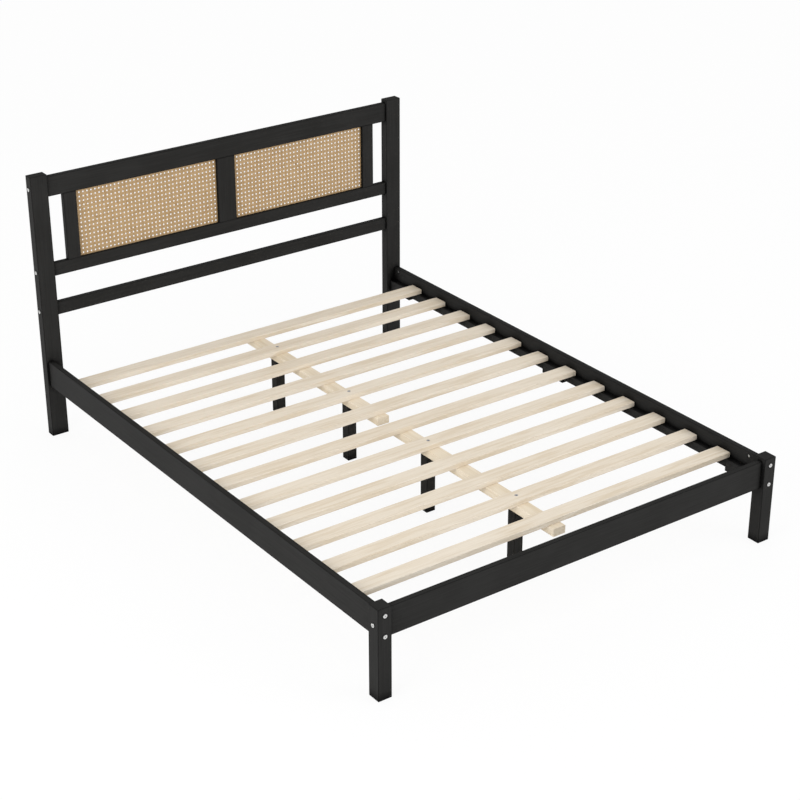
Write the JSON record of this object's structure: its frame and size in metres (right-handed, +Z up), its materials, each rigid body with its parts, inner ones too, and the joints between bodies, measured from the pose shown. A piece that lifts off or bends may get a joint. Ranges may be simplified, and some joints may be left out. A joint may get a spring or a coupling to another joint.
{
  "type": "platform bed",
  "caption": "Low platform bed of painted wood with short foot posts, a framed headboard with cane panels and loose pine slats on ledgers and a centre rail.",
  "frame": {"origin": "on the floor, at the middle of the bed's footprint", "axes": "+X across the bed to the right of someone who looks from the foot to the head, +Y from the foot to the head, +Z up"},
  "size_m": [1.5974, 2.1252, 1.004],
  "materials": {
    "black_wood": "satin black paint on solid wood, with eased edges",
    "pine": "planed pale pine, left bare",
    "cane": "natural woven cane",
    "bolt_steel": "zinc-plated bolts",
    "nut_steel": "zinc-plated barrel nuts",
    "screw_steel": "dark plated screws",
    "dowel_wood": "beech dowels, hidden in the joints"
  },
  "bodies": {
    "root": {"cane_panel_left": "cane", "cane_panel_right": "cane", "centre_leg_1": "black_wood", "centre_leg_2": "black_wood", "centre_leg_3": "black_wood", "centre_leg_4": "black_wood", "centre_leg_screws": "screw_steel", "centre_rail_foot": "pine", "centre_rail_head": "pine", "foot_post_left": "black_wood", "foot_post_right": "black_wood", "foot_rail": "black_wood", "foot_rail_barrel_nuts": "nut_steel", "foot_rail_bolts": "bolt_steel", "foot_rail_dowels": "dowel_wood", "head_post_left": "black_wood", "head_post_right": "black_wood", "headboard_barrel_nuts": "nut_steel", "headboard_bolts": "bolt_steel", "headboard_lower_rail": "black_wood", "headboard_middle_rail": "black_wood", "headboard_rail_dowels": "dowel_wood", "headboard_stile_centre": "black_wood", "headboard_stile_dowels": "dowel_wood", "headboard_stile_left": "black_wood", "headboard_stile_right": "black_wood", "headboard_top_rail": "black_wood", "ledger_left_foot": "black_wood", "ledger_left_head": "black_wood", "ledger_right_foot": "black_wood", "ledger_right_head": "black_wood", "ledger_screws": "screw_steel", "rail_block_left_foot": "black_wood", "rail_block_left_head": "black_wood", "rail_block_left_middle": "black_wood", "rail_block_right_foot": "black_wood", "rail_block_right_head": "black_wood", "rail_block_right_middle": "black_wood", "rail_block_screws": "screw_steel", "side_rail_barrel_nuts": "nut_steel", "side_rail_foot_bolts": "bolt_steel", "side_rail_head_bolts": "bolt_steel", "side_rail_left": "black_wood", "side_rail_right": "black_wood", "slat_01": "pine", "slat_02": "pine", "slat_03": "pine", "slat_04": "pine", "slat_05": "pine", "slat_06": "pine", "slat_07": "pine", "slat_08": "pine", "slat_09": "pine", "slat_10": "pine", "slat_11": "pine", "slat_12": "pine"}
  },
  "joints": []
}
